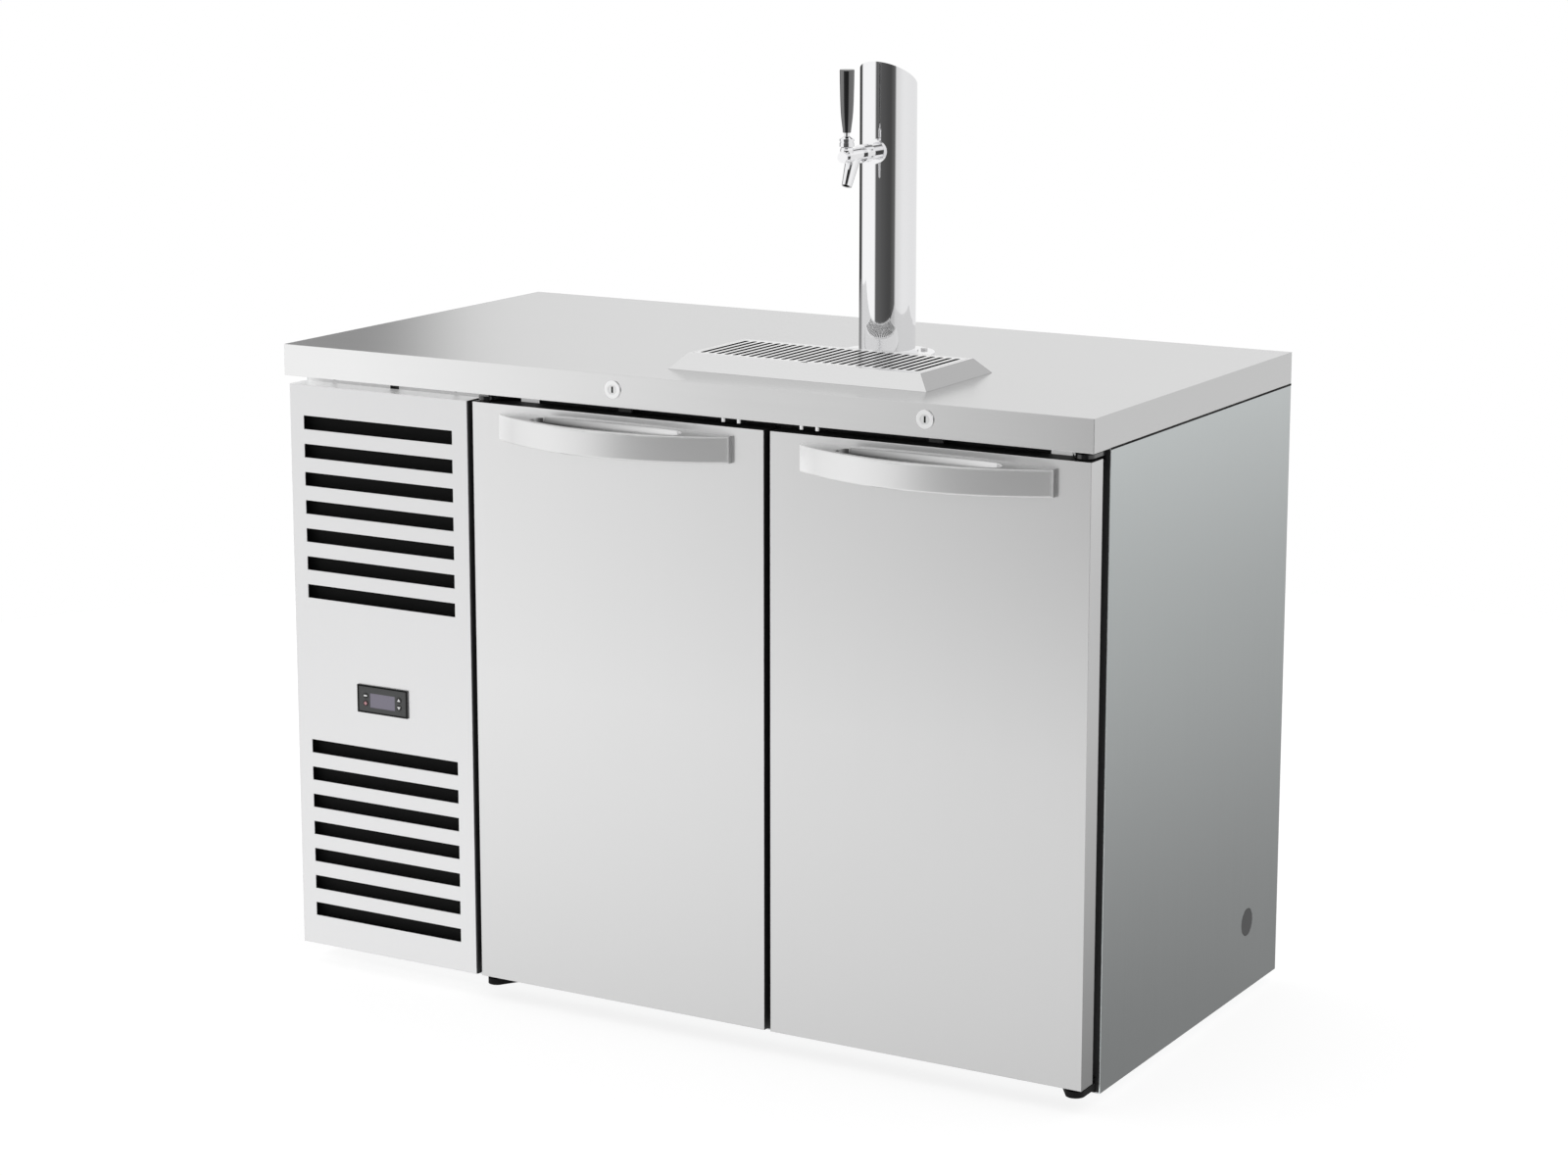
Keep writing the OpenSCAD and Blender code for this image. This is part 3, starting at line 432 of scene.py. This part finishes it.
def block(bm, low, high):
    """Adds a box between two corners."""
    low, high = Vector(low), Vector(high)
    made = bmesh.ops.create_cube(bm, size=1.0)
    for v in made["verts"]:
        v.co = Vector(
            tuple(low[i] + (v.co[i] + 0.5) * (high[i] - low[i]) for i in range(3))
        )


def worktop_seam():
    """Thin black seam between the worktop's skirts and the side panels."""
    height, half_t = 2.4 * MM, 0.4 * MM
    top = SIDE[1].z
    bm = bmesh.new()
    for x in (SIDE[1].x, SIDE_LEFT[0].x):
        block(bm, (x - half_t, SIDE[0].y, top - height), (x + half_t, SIDE[1].y, top))
    mesh_object("worktop_seam", bm, deep_black, "cabinet")


def louvre_shade_sheet():
    """Dark sheet behind the louvres, above and below the controller, put there as painted shade
    for the inside of the machine bay.
    """
    side_gap, end_gap = 2 * MM, 8 * MM
    thickness = 4 * MM
    front = COVER[0].y + 12 * MM
    x0, x1 = COVER[0].x + side_gap, COVER[1].x - side_gap
    bm = bmesh.new()
    for z0, z1 in ((COVER[0].z, CTL[0].z), (CTL[1].z, COVER[1].z)):
        block(bm, (x0, front, z0 + end_gap), (x1, front + thickness, z1 - end_gap))
    mesh_object("louvre_shade_sheet", bm, deep_black, "cabinet")


def keyway(side, x):
    """Dark slot for the key on a lock's plug."""
    z = 863 * MM
    half_w, half_h = 1.3 * MM, 4.2 * MM
    proud, sunk = 0.1 * MM, 0.3 * MM
    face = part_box(f"lock_cam_{side}")[0].y
    bm = bmesh.new()
    block(
        bm,
        (x - half_w, face - proud, z - half_h),
        (x + half_w, face + sunk, z + half_h),
    )
    mesh_object(f"keyway_{side}", bm, deep_black, f"lock_{side}")


def controller_rim():
    """Raised rim around the controller's face."""
    width, proud = 2.0 * MM, 0.6 * MM
    x0, x1, z0, z1 = CTL[0].x, CTL[1].x, CTL[0].z, CTL[1].z
    face = CTL[0].y
    bm = bmesh.new()
    for low_x, high_x, low_z, high_z in (
        (x0, x1, z0, z0 + width),
        (x0, x1, z1 - width, z1),
        (x0, x0 + width, z0 + width, z1 - width),
        (x1 - width, x1, z0 + width, z1 - width),
    ):
        block(bm, (low_x, face - proud, low_z), (high_x, face, high_z))
    mesh_object("controller_rim", bm, deep_black, "cabinet")


def mark(name, shape, mat, body):
    """A thin raised symbol on a button, from outline points in mm about its centre."""
    proud = 0.15 * MM
    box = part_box(body)
    middle = (box[0] + box[1]) / 2
    bm = bmesh.new()
    back, front = [
        [
            bm.verts.new((middle.x + x * MM, box[0].y - depth, middle.z + z * MM))
            for x, z in shape
        ]
        for depth in (0.0, proud)
    ]
    bm.faces.new(front)
    bm.faces.new(list(reversed(back)))
    for i in range(len(shape)):
        j = (i + 1) % len(shape)
        bm.faces.new((back[i], back[j], front[j], front[i]))
    bmesh.ops.recalc_face_normals(bm, faces=bm.faces)
    return mesh_object(name, bm, mat, body)


BAR = [(-2.6, -1.0), (2.6, -1.0), (2.6, 1.0), (-2.6, 1.0)]
DIAMOND = [(0, -2.8), (2.8, 0), (0, 2.8), (-2.8, 0)]
ARROW_UP = [(-2.7, -1.7), (2.7, -1.7), (0, 2.4)]
ARROW_DOWN = [(-2.7, 1.7), (0, -2.4), (2.7, 1.7)]

worktop_seam()
louvre_shade_sheet()
keyway("left", -76.75 * MM)
keyway("right", 381.25 * MM)
controller_rim()
mark("set_mark", BAR, mark_white, "button_set")
mark("power_mark", DIAMOND, mark_pink, "button_power")
mark("up_mark", ARROW_UP, mark_white, "button_up")
mark("down_mark", ARROW_DOWN, mark_white, "button_down")


# ---------------------------------------------------------- light and camera

# Each list gives brightness by direction, as a share of a full turn: from the back (0)
# through the left (0.25), the front (0.5) and the right (0.75) to the back again

# Low walls round the studio
STUDIO_WALLS = [
    (0.060, 0.85),
    (0.100, 0.80),
    (0.118, 0.20),
    (0.200, 0.14),
    (0.235, 0.95),
    (0.260, 1.05),
    (0.420, 1.05),
    (0.445, 0.12),
    (0.600, 0.07),
    (0.645, 0.12),
    (0.672, 0.80),
    (0.760, 0.90),
    (0.960, 0.87),
]
# A dark panel that leans over the scene from the front and the front right
DARK_PANEL = [
    (0.430, 1.0),
    (0.445, 0.03),
    (0.618, 0.03),
    (0.640, 1.0),
]
# A dark screen at the back left, which the worktop's left corner reflects
DARK_SCREEN = [
    (0.0985, 1.0),
    (0.1012, 0.26),
    (0.108, 0.40),
    (0.205, 0.40),
    (0.235, 1.0),
]
# Heights between which each one gives way, as the upward part of a direction
WALLS_END = (0.04, 0.20)
PANEL_STARTS = (0.42, 0.52)
PANEL_ENDS = (0.78, 0.86)
SCREEN_ENDS = (0.24, 0.36)


def tones_by_direction(tree, turn, places, ease=False):
    """A colour ramp round the horizon, which keeps its first and last tone to the ends."""
    node = tree.nodes.new("ShaderNodeValToRGB")
    if ease:
        node.color_ramp.interpolation = "EASE"
    stops = node.color_ramp.elements
    for place, tone in places:
        stops.new(place).color = (tone, tone, tone, 1.0)
    for index in (0, -1):
        tone = places[index][1]
        stops[index].color = (tone, tone, tone, 1.0)
    tree.links.new(turn, node.inputs["Fac"])
    return node.outputs["Color"]


def world_light():
    """A studio that is white to the front left, and dark in front and to the front right."""
    world = bpy.data.worlds.new("studio")
    bpy.context.scene.world = world
    world.use_nodes = True
    tree = world.node_tree
    back = tree.nodes["Background"]
    back.inputs["Strength"].default_value = 1.0
    coord = tree.nodes.new("ShaderNodeTexCoord")
    split = tree.nodes.new("ShaderNodeSeparateXYZ")
    tree.links.new(coord.outputs["Generated"], split.inputs["Vector"])
    upward = split.outputs["Z"]
    forward = math_node(tree, "MULTIPLY", split.outputs["Y"], -1.0)
    angle = math_node(tree, "ARCTAN2", split.outputs["X"], forward)
    turn = map_range(tree, angle, 0.0, 1.0, -math.pi, math.pi)

    walls = tones_by_direction(tree, turn, STUDIO_WALLS, ease=True)
    panel = tones_by_direction(tree, turn, DARK_PANEL)
    screen = tones_by_direction(tree, turn, DARK_SCREEN)

    over_panel = map_range(tree, upward, 0.0, 1.0, *PANEL_ENDS, smooth=True)
    under_panel = map_range(tree, upward, 1.0, 0.0, *PANEL_STARTS, smooth=True)
    off_panel = math_node(tree, "MAXIMUM", over_panel, under_panel)
    over_walls = map_range(tree, upward, 0.0, 1.0, *WALLS_END, smooth=True)
    over_screen = map_range(tree, upward, 0.0, 1.0, *SCREEN_ENDS, smooth=True)

    ceiling = mix_colors(tree, off_panel, panel, WHITE)
    room = mix_colors(tree, over_walls, walls, ceiling)
    screened = mix_colors(tree, over_screen, screen, WHITE)
    room = mix_colors(tree, 1.0, room, screened, blend="MULTIPLY")
    seen = tree.nodes.new("ShaderNodeLightPath")
    sky = mix_colors(tree, seen.outputs["Is Camera Ray"], room, WHITE)
    tree.links.new(sky, back.inputs["Color"])


def area_light(name, place, target, size, power):
    """A square soft light aimed at a point."""
    data = bpy.data.lights.new(name, "AREA")
    data.shape = "SQUARE"
    data.size = size
    data.energy = power
    obj = bpy.data.objects.new(name, data)
    bpy.context.scene.collection.objects.link(obj)
    obj.location = place
    obj.visible_glossy = False
    aim = Vector(target) - Vector(place)
    obj.rotation_euler = aim.to_track_quat("-Z", "Y").to_euler()


def pale_floor():
    """A round white floor just under the feet."""
    radius = 2.7
    bm = bmesh.new()
    bmesh.ops.create_circle(bm, cap_ends=True, segments=128, radius=radius)
    mesh = bpy.data.meshes.new("floor")
    bm.to_mesh(mesh)
    bm.free()
    floor = bpy.data.objects.new("floor", mesh)
    floor.location.z = CAD_BOX[0].z - 0.5 * MM
    bpy.context.scene.collection.objects.link(floor)
    mesh.materials.append(
        material(
            "floor",
            (0.18, 0.18, 0.18),
            roughness=0.9,
            Emission_Color=WHITE,
            Emission_Strength=0.84,
        )
    )


def add_camera():
    """A long lens from the front right, a little above the worktop."""
    data = bpy.data.cameras.new("camera")
    data.sensor_width = 36.0
    data.lens = 82.04
    data.shift_y = -0.05
    tilt_down, turn_left = 0.1938, 0.5253
    camera = bpy.data.objects.new("camera", data)
    camera.location = (2.4099, -4.1293, 1.6025)
    camera.rotation_euler = (math.pi / 2 - tilt_down, 0.0, turn_left)
    bpy.context.scene.collection.objects.link(camera)
    bpy.context.scene.camera = camera


world_light()
area_light("key", (-1.8, -1.6, 5.0), (0.0, 0.0, 0.4), size=4.0, power=40.0)
pale_floor()
add_camera()

bpy.context.scene.view_settings.view_transform = "Standard"
bpy.context.scene.view_settings.look = "None"
